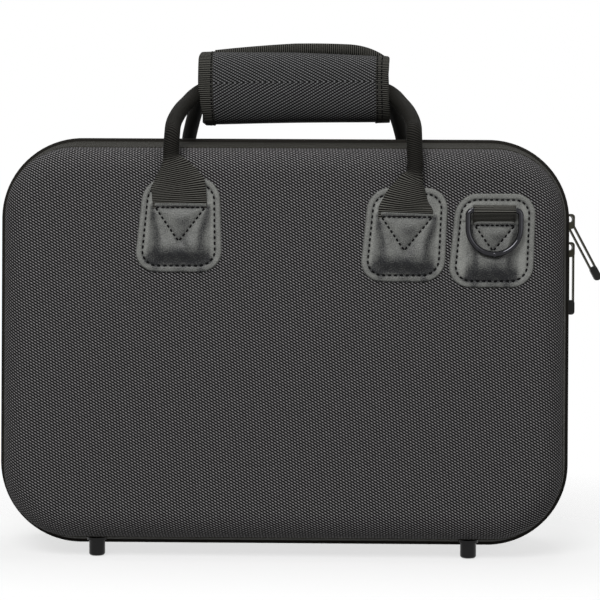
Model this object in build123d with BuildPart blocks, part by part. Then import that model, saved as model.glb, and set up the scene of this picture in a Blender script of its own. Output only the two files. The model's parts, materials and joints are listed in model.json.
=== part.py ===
"""Zip-around moulded clarinet case, standing on its long side.

Frame: millimetres, +Z up, -Y is the front (the lid), +X to the right.
The origin is on the floor, under the middle of the case, in the plane of the zip.
"""
from build123d import *
import math
import os

# ---------------------------------------------------------------- driving dimensions
# Case
case_width = 352.0            # over the rim binding
case_height = 251.0           # over the rim binding, without the feet
case_depth = 108.0            # front face to rear face
rim_corner_radius = 50.0      # corner of the rim binding
rim_half = 9.0                # half of the band between the two shells
shell_draft = 11.5            # degrees
face_edge_radius = 18.0       # large round where side and face of a shell meet

# Shell lay-up, from the outside inwards
cover_thickness = 1.6
core_thickness = 3.6
lining_thickness = 1.8
layer_gap = 0.1

# Rim
binding_proud = 2.0           # binding stands this far out from the shell
binding_width = 3.0           # along the depth
binding_height = 8.0          # across the shell's edge

# Zip
tape_inset = 2.6
tape_thickness = 1.0
coil_inset = 1.9
coil_height = 2.2
coil_inner_edge = 0.9         # from the middle plane to the coil
coil_width = 2.2
zip_end_tail = 6.0            # zip runs this far along the bottom past each corner
stop_length = 5.0

# Fabric hinge
hinge_thickness = 1.2
hinge_gap = 0.3               # from the middle plane to each leaf
hinge_end_gap = 4.0           # from the leaf to the end of the zip

# Feet
foot_height = 3.5
foot_radius = 4.8
foot_collar_radius = 6.0
foot_collar_height = 1.5
foot_from_end = 64.0          # from the end of the case
foot_from_face = 20.0         # from the front or rear face
foot_end_round = 1.5
foot_bore_radius = 2.1
screw_radius = 1.9
screw_head_radius = 4.0
screw_head_height = 2.0
screw_bite = 5.0              # length of the screw inside the foot

# Leather patches and their webbing
patch_width = 48.6
patch_height = 55.4
patch_corner_radius = 13.0
patch_thickness = 1.6
pocket_wall = 1.5             # leather over the webbing end
webbing_thickness = 1.8
handle_webbing_width = 32.0
ring_webbing_width = 25.0
pocket_clearance = 0.3
pocket_length = 24.0
slot_height = 4.0
slot_from_top = 15.0
ring_slot_from_top = 16.6
left_patch_x, left_patch_drop = -61.2, 55.9     # drop: from the top of the case
right_patch_x, right_patch_drop = 71.8, 60.9
ring_patch_from_end, ring_patch_drop = 52.4, 64.0

# Handles
strap_tube_radius = 5.0
strap_stand_off = 4.8         # hinge line of a strap in front of the shell's face
strap_thickness = 2.0
strap_swing_gap = 0.8         # from the folded end to the tab it turns on
flare_drop = 28.3             # flat webbing ends this far below the top of the case
flare_length = 15.0           # over which it turns into a tube
leg_bow = 4.5                 # the legs bow out sideways by this much
leg_shoulder_rise = 7.7       # above the top of the case
leg_shoulder_from_face = 5.0
leg_bend_radius = 12.0
shoulder_bend_radius = 16.0
grip_bend_radius = 9.0
grip_length = 119.0
grip_height = 44.5
grip_clearance = 10.2         # from the top of the case to the grip
grip_half_depth = 14.0
grip_strap_rise = 18.5        # strap in the grip, above the grip's lower edge
grip_strap_depth = 7.2
grip_strap_clearance = 0.3
grip_turn_out = 10.0          # strap bends this far outside the grip's end
grip_tape_width = 9.0
grip_tape_thickness = 0.6
grip_mid_gap = 1.2            # from the middle plane to each pad
fastener_thickness = 0.9      # hook and loop strips between the two pads
fastener_width = 24.0
fastener_length = 90.0
fastener_corner_radius = 2.0
rear_grip_rise = 4.0          # bound edge of the rear pad stands higher
rear_edge_depth = 3.0

# D-rings
ring_wire_radius = 1.6
ring_width = 34.0             # outside
ring_height = 28.6            # outside
ring_corner_radius = 2.7
ring_gap = 0.3
ring_bar_rise = 6.2           # bar sits this far above the patch's slot
ring_loop_wall = 1.3

# Zip sliders and pulls
slider_length = 11.0
slider_width = 9.0
slider_plate = 1.0
slider_clearance = 0.6
slider_post_width = 1.0
slider_post_length = 4.0
slider_spacing = 17.5
cheek_length = 9.4
cheek_height = 5.2
cheek_thickness = 1.0
cheek_wall = 1.3
cheek_window_length = 3.8
pull_bar_drop = 3.0            # below the slider's middle
pull_loop_width = 4.4
pull_slot_width = 1.8
pull_thickness = 2.4
pull_side_gap = 0.35
pull_bar_gap = 0.15
pull_length = 39.8
tip_length = 9.2
tip_width = 4.7
tip_thickness = 3.4
tip_grip_depth = 4.0
upper_pull_angle = 28.0       # degrees out from the case, resting on the lower slider

# Inside
tray_gap = 0.3
lid_pad_thickness = 9.0
well_depth = 27.0
well_wall = 7.0
outer_wall = 9.5              # from a well to the edge of the tray
corner_wall = 19.5            # to the wells in rows that end at a rounded corner
joint_well_width = 41.5
lower_joint_well = 254.0
upper_joint_well = 234.0
bell_well_length = 112.0
bell_well_width = 82.0
mouthpiece_well_length = 92.0
mouthpiece_well_width = 38.0
barrel_well_length = 70.0
accessory_well_length = 118.0
swab_well_length = 250.0
swab_well_width = 27.0
well_round = 12.0

# ---------------------------------------------------------------- worked-out values
LID, BASE = -1, 1             # facing: the lid looks to -Y, the base to +Y
case_bottom = foot_height
case_top = case_bottom + case_height
case_middle = case_bottom + case_height / 2
half_depth = case_depth / 2
shell_width = case_width - 2 * binding_proud
shell_height = case_height - 2 * binding_proud
shell_corner_radius = rim_corner_radius - binding_proud
corner_x = case_width / 2 - rim_corner_radius
corner_z = case_top - rim_corner_radius
core_inset = cover_thickness + layer_gap
lining_inset = core_inset + core_thickness + layer_gap
cavity_inset = lining_inset + lining_thickness
draft_slope = math.tan(math.radians(shell_draft))
handle_x = (left_patch_x + right_patch_x) / 2
strap_depth = half_depth + strap_stand_off
left_patch_z = case_top - left_patch_drop
right_patch_z = case_top - right_patch_drop
ring_patch_x = case_width / 2 - ring_patch_from_end
ring_patch_z = case_top - ring_patch_drop
foot_x = case_width / 2 - foot_from_end
foot_from_middle = half_depth - foot_from_face
left_slot_z = left_patch_z + patch_height / 2 - slot_from_top
right_slot_z = right_patch_z + patch_height / 2 - slot_from_top
ring_slot_z = ring_patch_z + patch_height / 2 - ring_slot_from_top
pocket_front = half_depth + webbing_thickness + 2 * layer_gap + pocket_wall
ring_loop_reach = ring_wire_radius + ring_gap + ring_loop_wall
ring_depth = pocket_front + layer_gap + ring_loop_reach
ring_bar_z = ring_slot_z + ring_bar_rise
flare_low = case_top - flare_drop
flare_high = flare_low + flare_length
leg_shoulder_height = case_top + leg_shoulder_rise
leg_shoulder_depth = half_depth - leg_shoulder_from_face
grip_bottom = case_top + grip_clearance
grip_middle = grip_bottom + grip_height / 2
grip_strap_height = grip_bottom + grip_strap_rise
slider_plate_top = -(coil_inset - slider_clearance - slider_plate)
pull_axis_out = pull_loop_width / 2 + pull_side_gap + slider_plate_top
slider_x = case_width / 2
upper_slider_z = corner_z
lower_slider_z = upper_slider_z - slider_spacing


def facing_plane(facing, depth, height=0.0):
    """Plane parallel to a face of the case, looking outwards."""
    return Plane(origin=(0, facing * depth, height), x_dir=(-facing, 0, 0), z_dir=(0, facing, 0))


def across(facing, x):
    """World X as a coordinate in facing_plane()."""
    return -facing * x


def write(part, name):
    part.label = name
    export_step(part, f"parts/{name}.step")


# ---------------------------------------------------------------- shells
def shell_block(facing, inset):
    """Solid half of the case, made smaller all round by inset."""
    with BuildPart() as block:
        with BuildSketch(facing_plane(facing, rim_half, case_middle)):
            RectangleRounded(
                shell_width - 2 * inset, shell_height - 2 * inset, shell_corner_radius - inset
            )
        extrude(amount=half_depth - rim_half - inset, taper=shell_draft)
        face = block.faces().sort_by(Axis.Y)[-1 if facing == BASE else 0]
        fillet(face.edges(), radius=face_edge_radius - inset)
    return block.part


def shell_layer(facing, inset, thickness):
    """One layer of the shell's lay-up, open towards the zip."""
    with BuildPart() as layer:
        add(shell_block(facing, inset))
        add(shell_block(facing, inset + thickness), mode=Mode.SUBTRACT)
    return layer.part


def foot_centres(facing):
    return [(x, facing * foot_from_middle) for x in (-foot_x, foot_x)]


def shell_under(inset):
    """Height of a layer's underside above the feet."""
    run = foot_from_middle - rim_half
    return case_bottom + binding_proud + inset + run * draft_slope


def drilled_layer(facing, inset, thickness, bore_radius):
    """A layer with the two holes for the foot screws."""
    with BuildPart() as layer:
        add(shell_layer(facing, inset, thickness))
        with BuildSketch(Plane.XY):
            with Locations(*foot_centres(facing)):
                Circle(bore_radius)
        extrude(amount=case_middle / 2, mode=Mode.SUBTRACT)
    return layer.part


def cover(facing):
    """Outer nylon cover, with a flattened seat for each foot's collar."""
    with BuildPart() as skin:
        add(drilled_layer(facing, 0, cover_thickness, foot_bore_radius))
        with BuildSketch(Plane.XY):
            with Locations(*foot_centres(facing)):
                Circle(foot_collar_radius + layer_gap)
        extrude(amount=foot_top(), mode=Mode.SUBTRACT)
    return skin.part


def foot_top():
    """Top of the collar: sunk through the cover, just short of the sloping core."""
    return shell_under(core_inset) - foot_collar_radius * draft_slope - layer_gap


# ---------------------------------------------------------------- rim
def rim_ring(facing, low, high, inset, height):
    """Band that follows the rim, from low to high away from the middle plane."""
    with BuildPart() as ring:
        with BuildSketch(facing_plane(facing, low, case_middle)):
            RectangleRounded(
                case_width - 2 * inset, case_height - 2 * inset, rim_corner_radius - inset
            )
            inner = inset + height
            RectangleRounded(
                case_width - 2 * inner, case_height - 2 * inner,
                rim_corner_radius - inner, mode=Mode.SUBTRACT,
            )
        extrude(amount=high - low)
    return ring.part


def zip_ring(facing, low, high, inset, height):
    """Part of a rim band that the zip covers: both sides, the top and the corners."""
    with BuildPart() as ring:
        add(rim_ring(facing, low, high, inset, height))
        with BuildSketch(facing_plane(facing, 0, case_bottom)):
            Rectangle(2 * (corner_x - zip_end_tail), rim_corner_radius)
        extrude(amount=half_depth, mode=Mode.SUBTRACT)
    return ring.part


def zip_tape(facing):
    return zip_ring(facing, coil_inner_edge + coil_width, rim_half - binding_width,
                    tape_inset, tape_thickness)


def zip_coil(facing):
    with BuildPart() as coil:
        add(zip_ring(facing, coil_inner_edge, coil_inner_edge + coil_width,
                     coil_inset, coil_height))
        with BuildSketch(facing_plane(facing, 0, case_bottom)):
            Rectangle(2 * (corner_x - zip_end_tail + stop_length), rim_corner_radius)
        extrude(amount=half_depth, mode=Mode.SUBTRACT)
    return coil.part


def zip_stops(facing):
    """Metal stop at each end of one half of the zip."""
    middle = case_bottom + coil_inset + coil_height / 2
    with BuildPart() as stops:
        with BuildSketch(facing_plane(facing, coil_inner_edge)):
            for end in (-1, 1):
                with Locations((end * (corner_x - zip_end_tail + stop_length / 2), middle)):
                    Rectangle(stop_length - 2 * layer_gap, coil_height)
        extrude(amount=coil_width - layer_gap)
    return stops.part


def hinge_leaf(facing):
    """Half of the sewn fabric hinge along the bottom."""
    with BuildPart() as leaf:
        with BuildSketch(facing_plane(facing, hinge_gap)):
            with Locations((0, case_bottom + hinge_thickness / 2)):
                Rectangle(2 * (corner_x - zip_end_tail - hinge_end_gap), hinge_thickness)
        extrude(amount=rim_half - binding_width - hinge_gap - layer_gap)
    return leaf.part


# ---------------------------------------------------------------- feet
def feet(facing):
    with BuildPart() as pair:
        with BuildSketch(Plane.XY):
            with Locations(*foot_centres(facing)):
                Circle(foot_radius)
        extrude(amount=foot_top())
        fillet(pair.faces().group_by(Axis.Z)[0].edges(), radius=foot_end_round)
        with BuildSketch(Plane.XY.offset(foot_top() - foot_collar_height)):
            with Locations(*foot_centres(facing)):
                Circle(foot_collar_radius)
        extrude(amount=foot_collar_height)
        with BuildSketch(Plane.XY.offset(foot_top() - screw_bite)):
            with Locations(*foot_centres(facing)):
                Circle(screw_radius)
        extrude(amount=screw_bite, mode=Mode.SUBTRACT)
    return pair.part


def foot_screws(facing):
    """Screws from inside the core down into the feet."""
    head_seat = shell_under(core_inset + core_thickness) + screw_head_radius * draft_slope
    with BuildPart() as screws:
        with BuildSketch(Plane.XY.offset(foot_top() - screw_bite)):
            with Locations(*foot_centres(facing)):
                Circle(screw_radius)
        extrude(amount=head_seat - foot_top() + screw_bite)
        with BuildSketch(Plane.XY.offset(head_seat)):
            with Locations(*foot_centres(facing)):
                Circle(screw_head_radius)
        extrude(amount=screw_head_height)
    return screws.part


def lining(facing):
    """Plush lining, cut round the two screw heads."""
    with BuildPart() as layer:
        add(shell_layer(facing, lining_inset, lining_thickness))
        with BuildSketch(Plane.XY):
            with Locations(*foot_centres(facing)):
                Circle(screw_head_radius + tray_gap)
        extrude(amount=case_middle / 2, mode=Mode.SUBTRACT)
    return layer.part


# ---------------------------------------------------------------- patches and webbing
def patch(facing, x, z, slot_z, webbing_width):
    """Leather patch: flat above its slot, raised into a pocket below it."""
    pocket_middle = slot_z - slot_height / 2 - pocket_length / 2
    pocket_width = webbing_width + 2 * pocket_clearance
    pocket_depth = webbing_thickness + 2 * layer_gap
    with BuildPart() as leather:
        with BuildSketch(facing_plane(facing, half_depth)):
            with Locations((across(facing, x), z)):
                RectangleRounded(patch_width, patch_height, patch_corner_radius)
        extrude(amount=patch_thickness)
        with BuildSketch(facing_plane(facing, half_depth)):
            with Locations((across(facing, x), pocket_middle)):
                RectangleRounded(pocket_width + 2 * pocket_wall,
                                 pocket_length + 2 * pocket_wall, pocket_wall)
        extrude(amount=pocket_front - half_depth)
        with BuildSketch(facing_plane(facing, half_depth)):
            with Locations((across(facing, x), pocket_middle + slot_height / 2)):
                Rectangle(pocket_width, pocket_length + slot_height)
        extrude(amount=pocket_depth, mode=Mode.SUBTRACT)
        with BuildSketch(facing_plane(facing, half_depth)):
            with Locations((across(facing, x), slot_z)):
                Rectangle(pocket_width, slot_height)
        extrude(amount=pocket_front - half_depth, mode=Mode.SUBTRACT)
    return leather.part


def webbing_tab(facing, x, slot_z, width, nose_depth):
    """Sewn-down end of a webbing, coming out through the patch's slot."""
    tab_length = pocket_length + slot_height - 2 * pocket_clearance
    tab_top = slot_z + slot_height / 2 - pocket_clearance
    nose_height = slot_height - 2 * pocket_clearance
    with BuildPart() as tab:
        with BuildSketch(facing_plane(facing, half_depth + layer_gap)):
            with Locations((across(facing, x), tab_top - tab_length / 2)):
                Rectangle(width, tab_length)
        extrude(amount=webbing_thickness)
        with BuildSketch(facing_plane(facing, half_depth + layer_gap)):
            with Locations((across(facing, x), tab_top - nose_height / 2)):
                Rectangle(width, nose_height)
        extrude(amount=nose_depth - half_depth - layer_gap)
    return tab.part


def handle_tabs(facing):
    """The four sewn-down ends of one handle's webbing are two on each face."""
    nose_depth = strap_depth - strap_thickness / 2 - strap_swing_gap
    with BuildPart() as pair:
        add(webbing_tab(facing, left_patch_x, left_slot_z, handle_webbing_width, nose_depth))
        add(webbing_tab(facing, right_patch_x, right_slot_z, handle_webbing_width, nose_depth))
    return pair.part


# ---------------------------------------------------------------- handles
def leg_points(facing, side, patch_x):
    """Centre line of one rolled leg, from the flare up to the grip."""
    bow_x = patch_x + side * leg_bow
    grip_end_x = handle_x + side * (grip_length / 2 + grip_turn_out)
    return [
        (patch_x, facing * strap_depth, flare_high),
        (bow_x, facing * (strap_depth + strap_thickness), (flare_high + leg_shoulder_height) / 2),
        (bow_x, facing * leg_shoulder_depth, leg_shoulder_height),
        (grip_end_x, facing * grip_strap_depth, grip_strap_height),
    ]


def strap(facing):
    """One handle's webbing: flat ends, flared into a rolled tube that runs through the grip."""
    left = leg_points(facing, -1, left_patch_x)
    right = leg_points(facing, 1, right_patch_x)
    radii = [leg_bend_radius, shoulder_bend_radius, grip_bend_radius]
    with BuildPart() as webbing:
        with BuildLine() as run:
            FilletPolyline(*left, *reversed(right), radius=radii + radii[::-1])
        with BuildSketch(Plane(origin=run.line @ 0, z_dir=run.line % 0)):
            Circle(strap_tube_radius)
        sweep()
        for x, slot_z in ((left_patch_x, left_slot_z), (right_patch_x, right_slot_z)):
            centre = (x, facing * strap_depth)
            with BuildSketch(Plane.XY.offset(slot_z)):
                with Locations(centre):
                    Rectangle(handle_webbing_width, strap_thickness)
            extrude(amount=flare_low - slot_z)
            with BuildSketch(Plane.XY.offset(flare_low)):
                with Locations(centre):
                    Rectangle(handle_webbing_width, strap_thickness)
            with BuildSketch(Plane.XY.offset(flare_high)):
                with Locations(centre):
                    Circle(strap_tube_radius)
            loft()
            with BuildSketch(Plane.YZ.offset(x - handle_webbing_width / 2)):
                with Locations((facing * strap_depth, slot_z)):
                    Circle(strap_thickness / 2)
            extrude(amount=handle_webbing_width)
    return webbing.part


def grip_half(facing, low_x, high_x, growth):
    """Half of the grip's oval section, pulled along X between two places."""
    with BuildPart() as half:
        with BuildSketch(Plane.YZ.offset(low_x)):
            with Locations((0, grip_middle)):
                Ellipse(grip_half_depth + growth, grip_height / 2 + growth)
            with Locations((facing * (grip_mid_gap - case_depth), grip_middle)):
                Rectangle(2 * case_depth, 2 * grip_height, mode=Mode.SUBTRACT)
        extrude(amount=high_x - low_x)
        with BuildSketch(Plane.YZ.offset(low_x)):
            with Locations((facing * grip_strap_depth, grip_strap_height)):
                Circle(strap_tube_radius + grip_strap_clearance)
        extrude(amount=high_x - low_x, mode=Mode.SUBTRACT)
    return half.part


def grip_pad(facing):
    """Padded half of the wrap-round grip."""
    reach = grip_length / 2 - grip_tape_width
    with BuildPart() as pad:
        add(grip_half(facing, handle_x - reach, handle_x + reach, 0))
        if facing == BASE:
            with BuildSketch(facing_plane(facing, grip_mid_gap)):
                with Locations((across(facing, handle_x), grip_bottom + grip_height)):
                    Rectangle(2 * reach - grip_tape_width, 2 * rear_grip_rise)
            extrude(amount=rear_edge_depth)
    return pad.part


def grip_tapes(facing):
    """Ribbed binding tape at both ends of a grip pad."""
    half = grip_length / 2
    with BuildPart() as tapes:
        for side in (-1, 1):
            outer, inner = handle_x + side * half, handle_x + side * (half - grip_tape_width)
            add(grip_half(facing, min(outer, inner), max(outer, inner), grip_tape_thickness))
    return tapes.part


def grip_fastener(facing):
    """Hook or loop strip on the pad's inner face."""
    with BuildPart() as strip:
        with BuildSketch(facing_plane(facing, grip_mid_gap - fastener_thickness)):
            with Locations((across(facing, handle_x), grip_middle - fastener_width / 4)):
                RectangleRounded(fastener_length, fastener_width, fastener_corner_radius)
        extrude(amount=fastener_thickness)
    return strip.part


# ---------------------------------------------------------------- D-rings
def ring_loop(facing, x):
    """Webbing that comes out of its slot, runs up round the D-ring's bar and back down."""
    reach = ring_loop_reach
    inner_depth = half_depth + patch_thickness + layer_gap
    outer_depth = pocket_front + webbing_thickness
    nose_reach = slot_height / 2 - pocket_clearance
    with BuildPart() as loop:
        add(webbing_tab(facing, x, ring_slot_z, ring_webbing_width, outer_depth))
        with BuildSketch(Plane.YZ.offset(x - ring_webbing_width / 2)):
            with BuildLine():
                Polyline(
                    (facing * (ring_depth - reach), ring_bar_z),
                    (facing * inner_depth, ring_slot_z + nose_reach),
                    (facing * inner_depth, ring_slot_z - nose_reach),
                    (facing * outer_depth, ring_slot_z - nose_reach),
                    (facing * (ring_depth + reach), ring_bar_z), close=True,
                )
            make_face()
            with Locations((facing * ring_depth, ring_bar_z)):
                Circle(reach)
        extrude(amount=ring_webbing_width)
        with BuildSketch(Plane.YZ.offset(x - ring_webbing_width / 2)):
            with Locations((facing * ring_depth, ring_bar_z)):
                Circle(ring_wire_radius + ring_gap)
        extrude(amount=ring_webbing_width, mode=Mode.SUBTRACT)
    return loop.part


def d_ring(facing, x):
    """Welded wire ring: straight bar above, round bow below."""
    half = ring_width / 2 - ring_wire_radius
    low_z = ring_bar_z - (ring_height - 2 * ring_wire_radius)
    depth = facing * ring_depth
    shoulder_z = low_z + half
    with BuildPart() as ring:
        with BuildLine() as bow:
            FilletPolyline(
                (x - half, depth, shoulder_z), (x - half, depth, ring_bar_z),
                (x + half, depth, ring_bar_z), (x + half, depth, shoulder_z),
                radius=ring_corner_radius,
            )
            ThreePointArc((x + half, depth, shoulder_z), (x, depth, low_z),
                          (x - half, depth, shoulder_z))
        with BuildSketch(Plane(origin=(x - half, depth, shoulder_z), z_dir=(0, 0, 1))):
            Circle(ring_wire_radius)
        sweep()
    return ring.part


# ---------------------------------------------------------------- sliders and pulls
def slider(z):
    """Zip slider at a height on the right side of the rim, with its open bridge."""
    outer_x = slider_x + slider_plate_top
    inner_x = slider_x - coil_inset - coil_height - slider_clearance
    axis_x = slider_x + pull_axis_out
    cheek_inner = pull_thickness / 2 + pull_side_gap
    with BuildPart() as body:
        with BuildSketch(Plane.YZ.offset(outer_x - slider_plate)):
            with Locations((0, z)):
                RectangleRounded(slider_width, slider_length, slider_post_length / 2)
        extrude(amount=slider_plate)
        with BuildSketch(Plane.YZ.offset(inner_x - slider_plate)):
            with Locations((0, z)):
                RectangleRounded(slider_width, slider_length, slider_post_length / 2)
        extrude(amount=slider_plate)
        with BuildSketch(Plane.YZ.offset(inner_x - slider_plate / 2)):
            with Locations((0, z)):
                Rectangle(slider_post_width, slider_post_length)
        extrude(amount=outer_x - inner_x)
        for side in (-1, 1):
            with BuildSketch(Plane.XZ.offset(-side * (cheek_inner + cheek_thickness / 2))):
                with Locations((outer_x - slider_plate / 2 + cheek_height / 2, z)):
                    RectangleRounded(cheek_height, cheek_length, cheek_height / 2 - cheek_thickness / 2)
                window_z = z + cheek_length / 2 - cheek_wall - cheek_window_length / 2
                with Locations((outer_x + (cheek_height - slider_plate / 2 - cheek_wall) / 2, window_z)):
                    window_width = cheek_height - slider_plate / 2 - cheek_wall
                    SlotOverall(cheek_window_length, window_width, rotation=90, mode=Mode.SUBTRACT)
            extrude(amount=cheek_thickness / 2, both=True)
        with BuildSketch(Plane.XZ.offset(-cheek_inner - cheek_thickness / 2)):
            with Locations((axis_x, z - pull_bar_drop)):
                Circle(pull_slot_width / 2 - pull_bar_gap)
        extrude(amount=2 * cheek_inner + cheek_thickness)
    return body.part


def pull_plane(z, angle):
    """Plane of the pull of a slider at height z: origin on its bar, local -Y runs down the pull."""
    turn = math.radians(angle)
    return Plane(
        origin=(slider_x + pull_axis_out, 0, z - pull_bar_drop),
        x_dir=(math.cos(turn), 0, math.sin(turn)), z_dir=(0, -1, 0),
    )


def pull_loop(z, angle):
    """Long slotted metal loop."""
    end = pull_length - pull_loop_width / 2 - tip_length + tip_grip_depth
    with BuildPart() as loop:
        with BuildSketch(pull_plane(z, angle)):
            with Locations((0, -end / 2)):
                SlotCenterToCenter(end, pull_loop_width, rotation=90)
                SlotCenterToCenter(end, pull_slot_width, rotation=90, mode=Mode.SUBTRACT)
        extrude(amount=pull_thickness / 2, both=True)
    return loop.part


def pull_tip(z, angle):
    """Moulded tip over the end of the loop."""
    far = pull_length - pull_loop_width / 2
    with BuildPart() as tip:
        with BuildSketch(pull_plane(z, angle)):
            with Locations((0, -far + tip_length / 2)):
                RectangleRounded(tip_width, tip_length, tip_width / 2 - pull_side_gap)
        extrude(amount=tip_thickness / 2, both=True)
        add(pull_loop(z, angle), mode=Mode.SUBTRACT)
    return tip.part


# ---------------------------------------------------------------- inside
def well_places():
    """Centre, length and width of each well of the tray, all in the plane of the zip."""
    left = -(shell_width / 2 - cavity_inset - outer_wall)
    top = shell_height / 2 - cavity_inset - outer_wall
    first_row = top - joint_well_width / 2
    second_row = first_row - joint_well_width - well_wall
    third_row = second_row - joint_well_width / 2 - well_wall - bell_well_width / 2
    bell_x = left + bell_well_length / 2
    side_x = bell_x + bell_well_length / 2 + well_wall
    row_shift = corner_wall - outer_wall
    mouthpiece_x = left + row_shift + lower_joint_well + well_wall + mouthpiece_well_width / 2
    low_well = bell_well_width - joint_well_width - well_wall
    return {
        "lower_joint": (left + row_shift + lower_joint_well / 2, first_row,
                        lower_joint_well, joint_well_width),
        "upper_joint": (left + upper_joint_well / 2, second_row,
                        upper_joint_well, joint_well_width),
        "mouthpiece": (mouthpiece_x, second_row, mouthpiece_well_width, mouthpiece_well_length),
        "bell": (bell_x + row_shift, third_row, bell_well_length, bell_well_width),
        "barrel": (side_x + row_shift + barrel_well_length / 2,
                   third_row + (bell_well_width - joint_well_width) / 2,
                   barrel_well_length, joint_well_width),
        "accessory": (side_x + row_shift + accessory_well_length / 2,
                      third_row - (bell_well_width - low_well) / 2,
                      accessory_well_length, low_well),
        "swab": (0, third_row - bell_well_width / 2 - well_wall - swab_well_width / 2,
                 swab_well_length, swab_well_width),
    }


def insert_tray():
    """Plush-covered foam tray with a well for each joint of the clarinet."""
    with BuildPart() as tray:
        add(shell_block(BASE, cavity_inset + tray_gap))
        for x, z, length, width in well_places().values():
            with BuildSketch(facing_plane(BASE, rim_half)):
                with Locations((across(BASE, x), case_middle + z)):
                    RectangleRounded(length, width, well_round)
            extrude(amount=well_depth, mode=Mode.SUBTRACT)
        with BuildSketch(Plane.XY):
            with Locations(*foot_centres(BASE)):
                Circle(screw_head_radius + tray_gap)
        screw_room = shell_under(cavity_inset) + screw_head_height + binding_proud
        extrude(amount=screw_room, mode=Mode.SUBTRACT)
    return tray.part


def lid_pad():
    """Foam pad on the inside of the lid that presses on the instrument."""
    inset = cavity_inset + tray_gap
    margin = face_edge_radius + inset
    with BuildPart() as pad:
        with BuildSketch(facing_plane(LID, half_depth - inset - lid_pad_thickness, case_middle)):
            RectangleRounded(shell_width - 2 * margin, shell_height - 2 * margin,
                             shell_corner_radius - margin + face_edge_radius)
        extrude(amount=lid_pad_thickness)
    return pad.part


# ---------------------------------------------------------------- write the pieces
def case_half(facing, name, ring_x):
    write(cover(facing), f"{name}_cover")
    write(drilled_layer(facing, core_inset, core_thickness, foot_bore_radius), f"{name}_core")
    write(lining(facing), f"{name}_lining")
    write(rim_ring(facing, rim_half - binding_width, rim_half - layer_gap, 0, binding_height),
          f"{name}_binding")
    write(zip_tape(facing), f"{name}_zip_tape")
    write(zip_coil(facing), f"{name}_zip_coil")
    write(zip_stops(facing), f"{name}_zip_stops")
    write(hinge_leaf(facing), f"{name}_hinge_leaf")
    write(feet(facing), f"{name}_feet")
    write(foot_screws(facing), f"{name}_foot_screws")
    for patch_name, x, z, slot_z, width in (
        ("left_patch", left_patch_x, left_patch_z, left_slot_z, handle_webbing_width),
        ("right_patch", right_patch_x, right_patch_z, right_slot_z, handle_webbing_width),
        ("ring_patch", ring_x, ring_patch_z, ring_slot_z, ring_webbing_width),
    ):
        write(patch(facing, x, z, slot_z, width), f"{name}_{patch_name}")
    write(handle_tabs(facing), f"{name}_handle_tabs")
    write(ring_loop(facing, ring_x), f"{name}_ring_loop")
    write(d_ring(facing, ring_x), f"{name}_d_ring")
    write(strap(facing), f"{name}_strap")
    write(grip_pad(facing), f"{name}_grip_pad")
    write(grip_tapes(facing), f"{name}_grip_tapes")
    write(grip_fastener(facing), f"{name}_grip_fastener")


os.makedirs("parts", exist_ok=True)
case_half(LID, "lid", ring_patch_x)
case_half(BASE, "base", -ring_patch_x)
write(insert_tray(), "insert_tray")
write(lid_pad(), "lid_pad")
for slider_name, slider_z, pull_angle in (
    ("upper", upper_slider_z, upper_pull_angle),
    ("lower", lower_slider_z, 0.0),
):
    write(slider(slider_z), f"{slider_name}_slider")
    write(pull_loop(slider_z, pull_angle), f"{slider_name}_pull_loop")
    write(pull_tip(slider_z, pull_angle), f"{slider_name}_pull_tip")
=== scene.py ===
# %% [markdown]
# # A zip-around clarinet case, dressed over its construction model
#
# The real thing is a moulded foam shell in two halves, covered in coarse woven nylon and joined by a zip.
# Its carry handle is rolled webbing held together by a padded grip, and its webbing ends are sewn under
# patches of grey leather. The hard parts come from the construction model. The soft ones are made here.

# %% Load the construction model
import functools
import json
import math

import bmesh
import bpy
import numpy as np
from mathutils import Matrix, Vector


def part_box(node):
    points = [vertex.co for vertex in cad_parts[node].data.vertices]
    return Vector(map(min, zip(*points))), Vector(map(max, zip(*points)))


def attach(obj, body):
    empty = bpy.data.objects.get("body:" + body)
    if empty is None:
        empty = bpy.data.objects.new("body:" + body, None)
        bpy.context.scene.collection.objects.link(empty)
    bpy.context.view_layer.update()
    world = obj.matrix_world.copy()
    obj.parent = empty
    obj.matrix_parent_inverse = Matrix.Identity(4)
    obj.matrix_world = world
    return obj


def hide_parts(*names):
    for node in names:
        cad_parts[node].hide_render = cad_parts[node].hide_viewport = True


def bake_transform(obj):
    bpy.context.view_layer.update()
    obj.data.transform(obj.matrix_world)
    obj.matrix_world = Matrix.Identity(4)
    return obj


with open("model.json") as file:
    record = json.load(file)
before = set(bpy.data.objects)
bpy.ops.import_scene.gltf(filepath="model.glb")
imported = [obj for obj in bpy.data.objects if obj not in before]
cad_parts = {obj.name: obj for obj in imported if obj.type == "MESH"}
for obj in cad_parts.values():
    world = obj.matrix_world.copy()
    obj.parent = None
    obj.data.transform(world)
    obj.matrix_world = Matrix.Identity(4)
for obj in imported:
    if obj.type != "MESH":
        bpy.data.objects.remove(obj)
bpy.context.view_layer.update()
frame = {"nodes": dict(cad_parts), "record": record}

MM = 0.001

# %% [markdown]
# ## Materials from nodes
#
# A procedural material is a small machine of nodes. One function adds any node, with what feeds it and
# what it feeds. Colours are chosen as sRGB hex codes, but shaders work in linear light, so one function
# turns one into the other. Patterns of thread are made of waves, whose pitch is given in millimetres.

# %% Colours, nodes and waves
def colour(code):
    """sRGB hex code as a linear colour with full alpha."""
    channels = [int(code[i:i + 2], 16) / 255 for i in (1, 3, 5)]
    return [c / 12.92 if c <= 0.04045 else ((c + 0.055) / 1.055) ** 2.4 for c in channels] + [1.0]


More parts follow.
